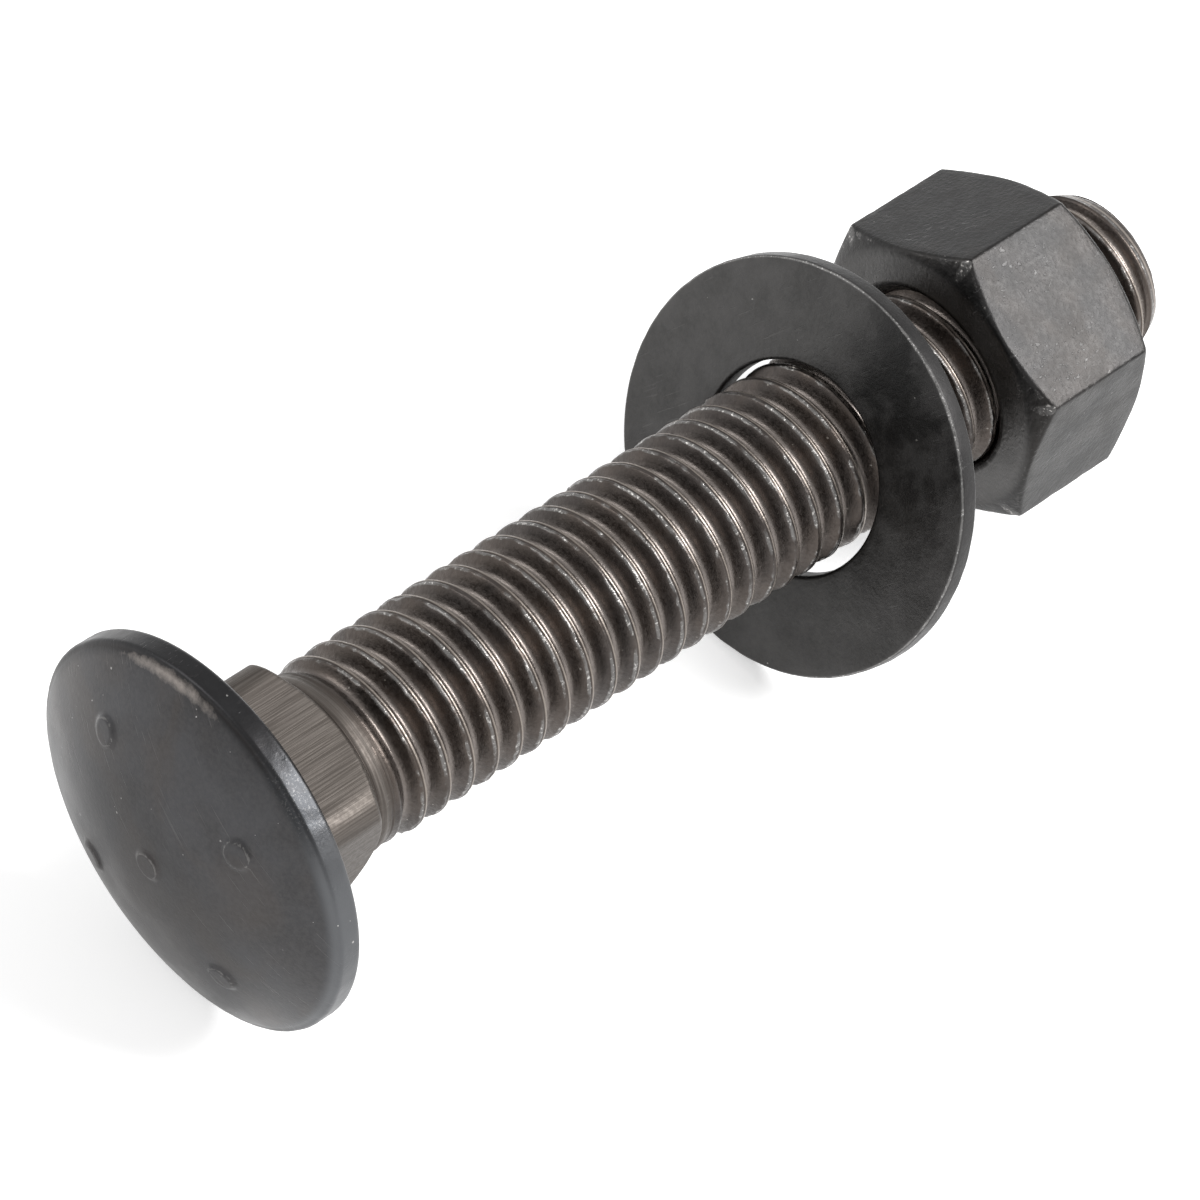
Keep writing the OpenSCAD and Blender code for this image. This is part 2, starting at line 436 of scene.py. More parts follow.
# %% Head sizes
head_r = 13.15
head_height = 4.9
rim_height = 1.35
rim_round = 0.35
head_middle = np.array([0, 0.42, 0.33])
dome_rise = head_height - rim_height
round_r = head_r - rim_round
dome_ball = (dome_rise ** 2 + round_r ** 2 - rim_round ** 2) / (2 * (dome_rise - rim_round))
dome_angle = math.atan2(round_r, dome_ball - dome_rise)
print("dome ball", round(dome_ball, 2), "mm")

# %% Head section
def arc(centre_r, centre_x, size, start, end, steps):
    """Points of an arc; 0 faces outwards from the axis and 90 faces the dome's side."""
    turn = np.linspace(start, end, steps)
    return np.stack([centre_r + size * np.cos(turn), centre_x - size * np.sin(turn)], axis=1)


underside = np.stack([np.linspace(0, round_r, 16)[:-1], np.zeros(15)], axis=1)
lower_edge = arc(round_r, -rim_round, rim_round, -math.pi / 2, 0, 8)
rim_side = np.stack([np.full(5, head_r), np.linspace(-rim_round, -rim_height, 7)[1:-1]], axis=1)
upper_edge = arc(round_r, -rim_height, rim_round, 0, math.pi / 2 - dome_angle, 8)
ball_turn = np.linspace(dome_angle, 0, 100)
dome_x = dome_ball - head_height - dome_ball * np.cos(ball_turn)
dome = np.stack([dome_ball * np.sin(ball_turn), dome_x], axis=1)
head_section = np.concatenate([underside, lower_edge, rim_side, upper_edge[:-1], dome])
print("head section", len(head_section), "points")

# %% Head with its dots
dot_r = 1.0
dot_height = 0.2
dot_ring = 8.2
# one in the middle, and four on the ring, by their angles
dot_places = [None, 45, 135, 225, 315]
head_rows = 280
sr, sa = np.meshgrid(head_section[:, 0], whole_turn(head_rows))
sx = np.broadcast_to(head_section[:, 1], sr.shape)
head_points = round_points(sx, sr, sa)
ball_centre = np.array([dome_ball - head_height, 0, 0])
normals = (head_points - ball_centre) / dome_ball
on_dome = sx < -rim_height - 0.2

raised = np.zeros(sr.shape)
dot_edge = np.zeros(sr.shape)
for dot_place in dot_places:
    lean = 0 if dot_place is None else math.asin(dot_ring / dome_ball)
    turn = math.radians(dot_place or 0)
    towards_dot = [-math.cos(lean), -math.sin(lean) * math.sin(turn), math.sin(lean) * math.cos(turn)]
    dot_centre = dome_ball * np.array(towards_dot)
    away = np.linalg.norm(normals * dome_ball - dot_centre, axis=-1)
    raised = np.maximum(raised, 1 - smooth_step(away, dot_r - 0.2, dot_r + 0.12))
    dot_edge = np.maximum(dot_edge, np.exp(-((away - dot_r + 0.14) / 0.12) ** 2))
raised = np.where(on_dome, raised, 0)
dot_edge = np.where(on_dome, dot_edge, 0)
print("raised points", int((raised > 0).sum()))

# %% [markdown]
# The rim was trimmed after forging. That leaves a shallow line between the
# dome and the rim, and small dents where the rim met harder things. All of
# these go inwards only, so the head keeps its size. Two places are rubbed
# through the coating: a tan one on the shoulder of the dome and a silvery one
# on the rim itself. Each is a soft patch round a place on the head, and the
# finish breaks its border up.

# %% Dents and the trim line
trim_depth = 0.05
dent_depth = 0.05
small_dent_depth = 0.03
dents = wander(head_points, 1.3, 11)
small_dents = wander(head_points, 0.5, 12)
rim_share = smooth_step(sr, head_r - 1.0, head_r - 0.3) * smooth_step(-sx, 0.0, 0.3)
trim = np.exp(-((sx + rim_height + 0.36) / 0.07) ** 2) * smooth_step(sr, head_r - 1.6, head_r - 0.8)
dented = dent_depth * np.clip(dents - 0.1, 0, 1) + small_dent_depth * np.clip(small_dents - 0.2, 0, 1)
sink = trim_depth * trim + rim_share * dented
print("deepest dent", round(float(sink.max()), 3), "mm")

# %% Rubbed places
def rubbed_place(angle_from, angle_to, radius_from, radius_to):
    """A soft patch between two angles and two radii of the head, 1 in its middle."""
    half = (angle_to - angle_from) / 2
    off = np.abs((np.degrees(sa) - (angle_from + half) + 180) % 360 - 180) / half
    middle = (radius_from + radius_to) / 2
    off_r = np.abs(sr - middle) / ((radius_to - radius_from) / 2)
    return np.clip(1 - np.sqrt(off ** 2 + off_r ** 2), 0, 1) * (sx < -0.2)


tan_place = rubbed_place(52, 103, 12.0, 13.1)
silver_place = rubbed_place(104, 148, 12.1, 13.9)
turned_to = np.degrees(sa)
# From about 122 to 235 degrees the rim is painted lighter grey: a painted reflection of the floor on that
# side of the rim.
rim_painted_reflection = rim_share * smooth_step(turned_to, 122, 152) * (1 - smooth_step(turned_to, 205, 235))
print("rubbed points", int((tan_place > 0).sum()), int((silver_place > 0).sum()))

# %% Head
head_points = head_points + normals * (dot_height * raised)[..., None]
head_points = head_points - round_points(np.zeros(sr.shape), sink, sa)
head_points = head_points + head_middle
bolt_head = make_piece(
    "bolt_head",
    head_points,
    grid_faces(head_rows, len(head_section))[:, ::-1],
    {
        "rim": rim_share,
        "trim": trim,
        "dot_edge": dot_edge,
        "tan_place": tan_place,
        "silver_place": silver_place,
        "rim_painted_reflection": rim_painted_reflection,
    },
)

# %% [markdown]
# ## The washer
# A washer is punched from sheet, and tumbling rounds its edges a little. It
# hangs loose on the thread, so it leans until its hole meets the thread at the
# top and at the bottom. The lean follows from the hole, the thickness and the
# rod that it hangs on. The rod is a little thicker than the thread here, so
# that the washer can travel along it.

# %% Washer sizes
washer_r = 13.55
washer_thick = 1.45
washer_round = 0.25
washer_rows = 240
washer_bite = 0.05
painted_shade_middle = 125
hole_r = 6.93
washer_play = 0.1
washer_place = np.array([48.1, -0.3, -washer_play])
rod = 2 * (crest_r + washer_play)
ring_corner = math.atan(washer_thick / (2 * hole_r))
washer_lean = math.acos(rod / math.hypot(2 * hole_r, washer_thick)) - ring_corner
print("the washer leans", round(math.degrees(washer_lean), 1), "degrees")

# %% Section of a ring
def rounded_section(inner, outer, thickness, size, steps=7, face_steps=14):
    """Closed section of a ring, as (radius, height), with its four edges rounded."""
    half = thickness / 2
    corners = [
        (outer, half, 0.0), (inner, half, math.pi / 2),
        (inner, -half, math.pi), (outer, -half, 1.5 * math.pi),
    ]
    section = []
    for r, h, start in corners:
        centre_r = r - size if r == outer else r + size
        centre_h = h - size if h > 0 else h + size
        for turn in np.linspace(start, start + math.pi / 2, steps):
            section.append((centre_r + size * math.cos(turn), centre_h + size * math.sin(turn)))
        if start in (0.0, math.pi):
            face_to = inner + size if start == 0.0 else outer - size
            across_face = np.linspace(section[-1][0], face_to, face_steps)[1:-1]
            section.extend((value, section[-1][1]) for value in across_face)
    return np.array(section + section[:1])


washer_section = rounded_section(hole_r, washer_r, washer_thick, washer_round)
print("washer section", len(washer_section), "points")

# %% [markdown]
# Bruises bite into the washer's outer edge. The finish needs three places on
# it: that rubbed edge, the dark wall, and a sector on one side of the hole that
# is painted dark as painted shade.

# %% Washer
wr, wa = np.meshgrid(washer_section[:, 0], whole_turn(washer_rows))
wh = np.broadcast_to(washer_section[:, 1], wr.shape)
bruise = wander(round_points(wh, wr, wa), 1.2, 21)
outer_share = smooth_step(wr, washer_r - 0.5, washer_r)
corner_height = 1 - np.abs(wh) / (washer_thick / 2)
edge_share = np.exp(-((wr - washer_r + 0.09) / 0.09) ** 2)
edge_share = edge_share * np.exp(-((corner_height - 0.12) / 0.14) ** 2)
wr = wr - washer_bite * outer_share * np.clip(bruise, 0, 1)
wall = smooth_step(wr, washer_r - 0.1, washer_r - 0.02) * smooth_step(corner_height, 0.15, 0.3)
# A sector round 125 degrees, fading in just outside the hole, is painted dark: painted shade on that side
# of the washer.
painted_shade_angle = np.abs((np.degrees(wa) - painted_shade_middle + 180) % 360 - 180)
painted_shade = (1 - smooth_step(painted_shade_angle, 15, 50)) * smooth_step(wr, hole_r - 1, hole_r + 1.5)
cosine = math.cos(washer_lean)
sine = math.sin(washer_lean)
turn_down = np.array([[cosine, 0, sine], [0, 1, 0], [-sine, 0, cosine]])
plain_washer = make_piece(
    "plain_washer",
    round_points(wh, wr, wa) @ turn_down.T + washer_place,
    grid_faces(washer_rows, len(washer_section)),
    {"edge": edge_share, "wall": wall, "painted_shade": painted_shade},
)

# %% [markdown]
# ## The nut
# The nut is a six-sided bar, with its corners turned down by a cone at both
# ends. Where the cone meets a flat it leaves the curved line that every hex
# nut has. For each angle we know how far out the flat or the round corner
# lies, and the cone then gives the height at which the corner is cut. So a
# section per angle, with its edges rounded, makes the whole outside.

# %% Nut sizes
nut_half = 9.35
nut_height = 10.4
nut_from = 59.9
nut_to = nut_from + nut_height
nut_turn = math.radians(3.3)
nut_corner = 0.28
nut_slope = math.radians(30)
nut_face_r = 0.97 * nut_half
thread_play = 0.12
flank_play = 0.4 * thread_play
tapped_softness = 0.05
mouth_r = crest_r + thread_play + 0.3
edge_reach = 0.264
nick_depth = 0.12
small_nick_depth = 0.05
print("nut from", nut_from, "to", round(nut_to, 2), "mm")

# %% Rounded corners of a section
def round_corners(points, size, steps=5):
    """A line of points with each inner corner replaced by a small curve."""
    points = np.array(points, dtype=float)
    line = [points[0]]
    for before, corner, after in zip(points[:-2], points[1:-1], points[2:]):
        back, on = before - corner, after - corner
        reach = min(size, 0.45 * np.linalg.norm(back), 0.45 * np.linalg.norm(on))
        start = corner + back / np.linalg.norm(back) * reach
        end = corner + on / np.linalg.norm(on) * reach
        for t in np.linspace(0, 1, steps):
            line.append((1 - t) ** 2 * start + 2 * t * (1 - t) * corner + t ** 2 * end)
    line.append(points[-1])
    return line


print("one corner becomes", len(round_corners([(0, 0), (1, 0), (1, 1)], 0.2)) - 2, "points")

# %% Angles round the nut
side_steps = np.linspace(-1, 1, 41)
packed = np.sign(side_steps) * (1 - (1 - np.abs(side_steps)) ** 1.8)
nut_angles = np.concatenate([
    nut_turn + math.radians(60 * k) + math.radians(30) * packed[:-1] for k in range(6)
])
nut_angles = np.sort(nut_angles % (2 * math.pi))
reach = polygon_radius(nut_angles - nut_turn, 6, nut_half, nut_corner)
print(len(nut_angles), "angles, most of them near the corners")

# %% Outside of the nut
outside = []
for r in reach:
    fall = (r - nut_face_r) * math.tan(nut_slope)
    corners = [
        (mouth_r, 0.0), (nut_face_r, 0.0), (r, fall),
        (r, nut_height - fall), (nut_face_r, nut_height), (mouth_r, nut_height),
    ]
    line = round_corners(corners, edge_reach)
    # points 1 to 10 round the near face, and 11 to 20 the far one
    near = np.linspace(line[0], line[1], 8)[:-1]
    body = np.linspace(line[10], line[11], 18)[1:-1]
    far = np.linspace(line[-2], line[-1], 8)[1:]
    outside.append(np.concatenate([near, line[1:11], body, line[11:-1], far]))
outside = np.array(outside)
print("nut grid", outside.shape)

# %% Nicks on the nut's corners
nr = outside[..., 0]
nx = outside[..., 1] + nut_from
na = np.broadcast_to(nut_angles[:, None], nr.shape)
plain_nut = round_points(nx, nr, na)
nut_bites = wander(plain_nut, 0.9, 31)
nut_fine = wander(plain_nut, 0.35, 32)
to_flat = np.abs((na - nut_turn + math.pi / 6) % (math.pi / 3) - math.pi / 6)
corner_share = smooth_step(to_flat, math.radians(27.6), math.radians(29.4))
cone_r = nut_face_r + np.minimum(nx - nut_from, nut_to - nx) / math.tan(nut_slope)
cone_share = np.exp(-((nr - cone_r) / 0.14) ** 2) * smooth_step(nr, nut_face_r + 0.1, nut_face_r + 0.4)
on_side = smooth_step(nr, nut_face_r, nut_face_r + 0.6)
wear = np.clip(0.5 * corner_share * on_side + cone_share * (0.6 + 0.4 * corner_share), 0, 1)
# Both end faces are painted lighter: partly wear from the washer, and partly painted light that lifts the
# dark washer they mirror.
face_wear_and_light = 1 - smooth_step(nr, nut_face_r - 0.5, nut_face_r + 0.3)
nicks = nick_depth * np.clip(nut_bites - 0.1, 0, 1) + small_nick_depth * np.clip(nut_fine, 0, 1)
nr = nr - wear * nicks
print("deepest nick", round(float((wear * nicks).max()), 3), "mm")

# %% [markdown]
# The hole is tapped. Its thread is the bolt's own, a little wider, with a
# bevel at both mouths. The same thread formula gives it, read from inside.

# %% Inside of the nut
inner_offsets = np.array([0.0, 0.12, 0.24, 0.3, 0.5, 0.72, 0.84])
inner_across = np.concatenate([-inner_offsets[:0:-1], inner_offsets, [pitch / 2]])
turns_in_nut = np.arange(28, 38)
ix, ia, i_side = thread_grid(turns_in_nut, nut_angles, inner_across)
inner_r = thread_height(
    np.abs(i_side), crest_r + thread_play, root_r + thread_play,
    crest_edge + flank_play, groove_edge + flank_play, tapped_softness,
)
depth = np.minimum(ix - nut_from, nut_to - ix)
inner_r = np.maximum(inner_r, mouth_r - depth)
inner_r = np.where(depth < 0, mouth_r, inner_r)
inner_x = np.clip(ix, nut_from, nut_to)
inner_points = round_points(inner_x, inner_r, ia).reshape(-1, 3)
print("tapped hole", len(inner_points), "points")

# %% Nut
rows = len(nut_angles)
inner_faces = grid_faces(rows, ix.shape[1], shift=len(inner_across))[:, ::-1]
outer_points = round_points(nx, nr, na).reshape(-1, 3)
outer_faces = grid_faces(rows, nr.shape[1])
in_hole = np.zeros(len(inner_points))
hex_nut = make_piece(
    "hex_nut",
    np.concatenate([outer_points, inner_points]),
    np.concatenate([outer_faces, inner_faces + len(outer_points)]),
    {
        "wear": np.concatenate([wear.ravel(), in_hole]),
        "face_wear_and_light": np.concatenate([face_wear_and_light.ravel(), in_hole]),
        "bore": np.concatenate([np.zeros(len(outer_points)), in_hole + 1]),
    },
)

# %% [markdown]
# ## Effects that the finishes share
# Blackened steel is one coating with many small things on it. Each of these
# effects is a node group, so that every piece can use it with its own sizes and
# amounts. A group gives masks, and the shader stays in the material.

# %% Helpers for node groups
def new_group(name, inputs, outputs):
    """A shader node group, with what it is given and what it wants."""
    group = bpy.data.node_groups.new(name, "ShaderNodeTree")
    kinds = {float: "NodeSocketFloat", tuple: "NodeSocketVector"}
    for key, value in inputs.items():
        socket = group.interface.new_socket(key, in_out="INPUT", socket_type=kinds[type(value)])
        socket.default_value = value
    for key in outputs:
        group.interface.new_socket(key, in_out="OUTPUT", socket_type=kinds[float])
    given = group.nodes.new("NodeGroupInput").outputs
    wanted = group.nodes.new("NodeGroupOutput").inputs
    print(name, "takes", len(inputs), "values and gives", len(outputs))
    return group, given, wanted


def put(tree, kind, links=None, **settings):
    """A node with its settings, and its inputs set to a value or linked to a socket."""
    node = tree.nodes.new(kind)
    for key, value in settings.items():
        setattr(node, key, value)
    for key, value in (links or {}).items():
        if isinstance(value, bpy.types.NodeSocket):
            tree.links.new(value, node.inputs[key])
        else:
            node.inputs[key].default_value = value
    return node

# %% Helpers for sums, ramps and noise
def number(tree, operation, a, b, clamp=False):
    """The output of a Math node."""
    return put(tree, "ShaderNodeMath", {0: a, 1: b}, operation=operation, use_clamp=clamp).outputs[0]


def times(tree, a, b):
    """One value times another."""
    return number(tree, "MULTIPLY", a, b)


def plus(tree, a, b):
    """One value plus another."""
    return number(tree, "ADD", a, b)


def remap(tree, value, low, high, to_low=0.0, to_high=1.0):
    """A value moved from one range to another with a soft, clamped ramp."""
    node = put(tree, "ShaderNodeMapRange", {
        "Value": value, "From Min": low, "From Max": high, "To Min": to_low, "To Max": to_high,
    }, interpolation_type="SMOOTHSTEP")
    return node.outputs["Result"]


def ramp_up(tree, value, low, width):
    """A straight ramp from 0 at a level to 1 where the value is higher by a width."""
    node = put(tree, "ShaderNodeMapRange", {
        "Value": value, "From Min": low, "From Max": plus(tree, low, width),
    })
    return node.outputs["Result"]


def cloudy(tree, vector, scale, detail, roughness=0.5, distortion=0.0):
    """The outputs of a noise node."""
    return put(tree, "ShaderNodeTexNoise", {
        "Vector": vector, "Scale": scale, "Detail": detail, "Roughness": roughness,
        "Distortion": distortion,
    }).outputs

# %% [markdown]
# Mottle is the uneven tone of the coating: soft clouds where the oil lies
# thicker, with a finer grain on top. Broad stains are a third, slower noise
# that most pieces use for a change of hue.

# %% Mottle
mottle, given, wanted = new_group(
    "mottle",
    {"Vector": (0, 0, 0), "Cloud Scale": 300.0, "Grain Scale": 2500.0, "Stain Scale": 90.0},
    ["Cloud", "Grain", "Stain"],
)
cloud = cloudy(mottle, given["Vector"], given["Cloud Scale"], 5.0, 0.6)
grain = cloudy(mottle, given["Vector"], given["Grain Scale"], 4.0, 0.65)
stain = cloudy(mottle, given["Vector"], given["Stain Scale"], 3.0, 0.55, distortion=0.6)
mottle.links.new(remap(mottle, cloud["Fac"], 0.3, 0.7), wanted["Cloud"])
mottle.links.new(remap(mottle, grain["Fac"], 0.25, 0.75), wanted["Grain"])
mottle.links.new(remap(mottle, stain["Fac"], 0.42, 0.62), wanted["Stain"])

# %% [markdown]
# Specks are grains of dust and bits of bright metal: small cells, of which
# only a few are kept. A little noise pushes the cells about, so that no speck
# is a true disc, and each has its own size and shade.

# %% Specks
specks, given, wanted = new_group(
    "specks",
    {"Vector": (0, 0, 0), "Scale": 1800.0, "Amount": 0.1, "Size": 0.12},
    ["Mask"],
)
jitter = cloudy(specks, given["Vector"], 9000.0, 1.0)
shift = put(specks, "ShaderNodeVectorMath", {
    0: jitter["Color"], 1: (0.08 * MM, 0.08 * MM, 0.08 * MM), 2: given["Vector"],
}, operation="MULTIPLY_ADD")
cells = put(specks, "ShaderNodeTexVoronoi", {"Vector": shift.outputs["Vector"], "Scale": given["Scale"]})
drawn = put(specks, "ShaderNodeSeparateColor", {"Color": cells.outputs["Color"]}).outputs
chosen = number(specks, "LESS_THAN", drawn[0], given["Amount"])
own_size = plus(specks, times(specks, drawn[1], drawn[1]), 0.25)
size = times(specks, given["Size"], own_size)
speck = times(specks, chosen, number(specks, "LESS_THAN", cells.outputs["Distance"], size))
shade = remap(specks, drawn[2], 0.0, 1.0, 0.35, 1.0)
specks.links.new(times(specks, speck, shade), wanted["Mask"])

# %% [markdown]
# Scratches are noise that is stretched a long way in one direction. Only its
# highest peaks are kept, which are thin straight dashes of different lengths.
# The same stretched noise without the cut gives drawn lines, the dense fine
# streaks that a die or a lathe tool leaves.

# %% Scratches and drawn lines
scratches, given, wanted = new_group(
    "scratches",
    {"Vector": (0, 0, 0), "Turn": (0, 0, 0), "Scale": 4000.0, "Stretch": (0.03, 1, 1), "Level": 0.64},
    ["Mask", "Lines"],
)
turned = put(scratches, "ShaderNodeVectorRotate", {
    "Vector": given["Vector"], "Rotation": given["Turn"],
}, rotation_type="EULER_XYZ")
stretched = put(scratches, "ShaderNodeVectorMath", {
    0: turned.outputs["Vector"], 1: given["Stretch"],
}, operation="MULTIPLY")
streaks = cloudy(scratches, stretched.outputs["Vector"], given["Scale"], 2.0)["Fac"]
patches = remap(scratches, cloudy(scratches, given["Vector"], 260.0, 2.0)["Fac"], 0.4, 0.6)
peaks = ramp_up(scratches, streaks, given["Level"], 0.05)
scratches.links.new(times(scratches, peaks, patches), wanted["Mask"])
scratches.links.new(remap(scratches, streaks, 0.3, 0.7), wanted["Lines"])

# %% [markdown]
# Worn metal shows where a piece is rubbed. The mesh says where that is, and
# noise breaks the edge of it up, so that it ends in crumbs and not in a line.
# A second, very fine noise gives the glints: tiny facets that shine while
# their neighbours stay dull.

# %% Worn metal
# The thread's far lip uses the same mask for a painted highlight.
worn_and_lit, given, wanted = new_group(
    "worn metal and highlight",
    {"Vector": (0, 0, 0), "Where": 0.0, "Amount": 0.5, "Scale": 1500.0, "Softness": 0.15,
     "Glint Scale": 7000.0},
    ["Mask", "Glint"],
)
crumbled = cloudy(worn_and_lit, given["Vector"], given["Scale"], 6.0, 0.7)["Fac"]
swing = times(worn_and_lit, number(worn_and_lit, "SUBTRACT", crumbled, 0.5), 1.3)
lifted = plus(worn_and_lit, given["Where"], swing)
level_line = number(worn_and_lit, "SUBTRACT", 1.0, given["Amount"])
over = ramp_up(worn_and_lit, lifted, level_line, given["Softness"])
mask = times(worn_and_lit, over, remap(worn_and_lit, given["Where"], 0.02, 0.2))
facets = remap(worn_and_lit, cloudy(worn_and_lit, given["Vector"], given["Glint Scale"], 2.0, 0.6)["Fac"], 0.55, 0.68)
worn_and_lit.links.new(mask, wanted["Mask"])
worn_and_lit.links.new(times(worn_and_lit, mask, facets), wanted["Glint"])

# %% [markdown]
# A finish is a material that uses those effects. Its colour is built like a
# coat of paint, one layer over another, and each layer has a mask, an amount
# and a colour. A mask is a socket, or the name of a number kept with the mesh.

# %% Helpers for effects in a finish
def attribute(tree, name):
    """A number that the mesh keeps at its points."""
    return put(tree, "ShaderNodeAttribute", attribute_name=name).outputs["Fac"]


def use(tree, group, place, values):
    """The outputs of a group node. A word among the values names a number of the mesh."""
    links = {"Vector": place}
    for key, value in values.items():
        links[key] = attribute(tree, value) if isinstance(value, str) else value
    return put(tree, "ShaderNodeGroup", links, node_tree=group).outputs


def blend_colour(tree, share, below, over):
    """A colour between two, by a share. Either can be a socket or three numbers."""
    pair = [(*colour, 1) if isinstance(colour, tuple) else colour for colour in (below, over)]
    return put(tree, "ShaderNodeMix", {0: share, 6: pair[0], 7: pair[1]}, data_type="RGBA").outputs[2]


def coats(tree, colour, layers):
    """A colour with others laid over it, each given as a mask, an amount and a colour."""
    for mask, amount, over in layers:
        mask = attribute(tree, mask) if isinstance(mask, str) else mask
        colour = blend_colour(tree, times(tree, mask, amount), colour, over)
    return colour

# %% Helpers for a whole finish
def new_finish(name):
    """A metal material with its node tree and the place in object coordinates."""
    material = bpy.data.materials.new(name)
    material.use_nodes = True
    tree = material.node_tree
    tree.nodes["Principled BSDF"].inputs["Metallic"].default_value = 1.0
    return material, tree, put(tree, "ShaderNodeTexCoord").outputs["Object"]


def finish(tree, colour, cloud, smooth, rough, height, depth):
    """Links a colour, a roughness between two and a height in millimetres to the shader."""
    wanted = tree.nodes["Principled BSDF"].inputs
    tree.links.new(colour, wanted["Base Color"])
    tree.links.new(remap(tree, cloud, 0.0, 1.0, smooth, rough), wanted["Roughness"])
    bump = put(tree, "ShaderNodeBump", {"Height": height, "Distance": depth * MM})
    tree.links.new(bump.outputs["Normal"], wanted["Normal"])
    print("finish with", len(tree.nodes), "nodes")

# %% [markdown]
# ## Head
# All of the pieces are metal under a thin dark oxide. So each material is fully
# metallic with a very low base colour: it is dark where we look straight at it
# and brighter at a glance, as blackened steel is. The head is the smoothest
# piece, with brown stains, a dark trim line and two rubbed places.

# %% Effects on the head
head_finish, tree, place = new_finish("blackened_head")
tones = use(tree, mottle, place, {"Cloud Scale": 220.0, "Grain Scale": 3200.0, "Stain Scale": 120.0})
tan_worn = use(tree, worn_and_lit, place, {"Where": "tan_place", "Amount": 0.8, "Scale": 1400.0, "Softness": 1.0})
silver_worn = use(tree, worn_and_lit, place, {
    "Where": "silver_place", "Amount": 0.75, "Scale": 1100.0, "Softness": 0.5,
})
dot_worn = use(tree, worn_and_lit, place, {"Where": "dot_edge", "Amount": 0.32, "Scale": 2200.0, "Softness": 0.2})
dust = use(tree, specks, place, {"Scale": 1300.0, "Amount": 0.2, "Size": 0.12})
marks = use(tree, scratches, place, {
    "Turn": (-0.6, 0.0, 0.0), "Scale": 6000.0, "Stretch": (0.2, 0.03, 1.0),
})
some_glints = plus(tree, tan_worn["Glint"], dot_worn["Glint"])
glints = number(tree, "ADD", silver_worn["Glint"], some_glints, clamp=True)
print("head effects", len(tree.nodes), "nodes")

# %% Head finish
colour = blend_colour(tree, tones["Cloud"], (0.037, 0.036, 0.037), (0.053, 0.053, 0.056))
colour = coats(tree, colour, [
    (tones["Stain"], 0.4, (0.058, 0.049, 0.043)),
    (tones["Grain"], 0.25, (0.085, 0.082, 0.08)),
    (marks["Mask"], 0.3, (0.11, 0.107, 0.104)),
    ("trim", 0.6, (0.03, 0.023, 0.019)),
    ("rim", 0.7, (0.018, 0.018, 0.019)),
    # painted reflection: that side of the rim is painted lighter grey
    ("rim_painted_reflection", 0.85, (0.1, 0.103, 0.108)),
    (tan_worn["Mask"], 0.85, (0.32, 0.285, 0.26)),
    (silver_worn["Mask"], 0.6, (0.034, 0.036, 0.039)),
    (dot_worn["Mask"], 0.5, (0.16, 0.155, 0.15)),
    (glints, 0.3, (0.14, 0.137, 0.135)),
    (dust["Mask"], 0.8, (0.42, 0.41, 0.4)),
])
relief = number(tree, "SUBTRACT", times(tree, tones["Grain"], 0.5), marks["Mask"])
finish(tree, colour, tones["Cloud"], 0.34, 0.42, relief, 0.008)

# %% [markdown]
# ## Neck
# The neck keeps the brownish grey of forged steel, with dense fine lines along
# the bolt that the die left. On the collar the lines run round it, and the
# valley beside it and the low band before the thread are painted dark, as
# painted shade in those hollows.

# %% Neck finish
neck_finish, tree, place = new_finish("forged_neck")
tones = use(tree, mottle, place, {"Cloud Scale": 260.0, "Grain Scale": 3000.0})
along = use(tree, scratches, place, {"Scale": 8000.0, "Stretch": (0.025, 1.0, 1.0), "Level": 0.62})
round_it = use(tree, scratches, place, {"Scale": 8000.0, "Stretch": (1.0, 0.025, 0.025)})
on_collar = attribute(tree, "collar")
on_square = number(tree, "SUBTRACT", 1.0, on_collar)
square_lines = times(tree, along["Lines"], on_square)
collar_lines = times(tree, round_it["Lines"], on_collar)
lines = plus(tree, square_lines, collar_lines)
colour = blend_colour(tree, lines, (0.064, 0.056, 0.05), (0.108, 0.096, 0.087))
colour = coats(tree, colour, [
    (tones["Cloud"], 0.35, (0.085, 0.075, 0.067)),
    (along["Mask"], 0.3, (0.22, 0.2, 0.18)),
    # painted shade: the valley and the low band are painted dark
    ("valley", 0.75, (0.035, 0.028, 0.024)),
])
relief = plus(tree, times(tree, tones["Grain"], 0.3), lines)
finish(tree, colour, tones["Grain"], 0.5, 0.6, relief, 0.006)

# %% [markdown]
# ## Thread
# The flanks are dark brown and a little glossy, with dust caught in them. The
# roots are drawn lighter, because little light reaches them. The lip towards
# the head is grey with glints, and the other lip is a tan line that is a
# painted highlight.

# %% Thread finish
thread_finish, tree, place = new_finish("rolled_thread")
tones = use(tree, mottle, place, {"Cloud Scale": 500.0, "Grain Scale": 3500.0, "Stain Scale": 140.0})
rough_lip = use(tree, worn_and_lit, place, {
    "Where": "near_lip", "Amount": 0.58, "Scale": 700.0, "Softness": 0.5, "Glint Scale": 4200.0,
})
tan_lip_highlight = use(tree, worn_and_lit, place, {"Where": "far_lip", "Amount": 0.75, "Scale": 700.0, "Softness": 0.6})
dust = use(tree, specks, place, {"Scale": 1900.0, "Amount": 0.22, "Size": 0.13})
colour = blend_colour(tree, tones["Cloud"], (0.046, 0.04, 0.037), (0.064, 0.056, 0.052))
colour = coats(tree, colour, [
    (tones["Stain"], 0.4, (0.092, 0.074, 0.062)),
    ("root", 0.75, (0.19, 0.168, 0.155)),
    (rough_lip["Mask"], 0.7, (0.16, 0.156, 0.152)),
    # painted highlight: the far lip is painted a light tan, for the light that its round edge catches
    (tan_lip_highlight["Mask"], 0.8, (0.24, 0.21, 0.185)),
    (rough_lip["Glint"], 0.85, (0.5, 0.485, 0.465)),
    ("seam", 0.6, (0.03, 0.026, 0.023)),
    (dust["Mask"], 0.7, (0.36, 0.34, 0.31)),
])
relief = plus(tree, tones["Grain"], times(tree, rough_lip["Glint"], 1.5))
finish(tree, colour, tones["Grain"], 0.3, 0.48, relief, 0.01)
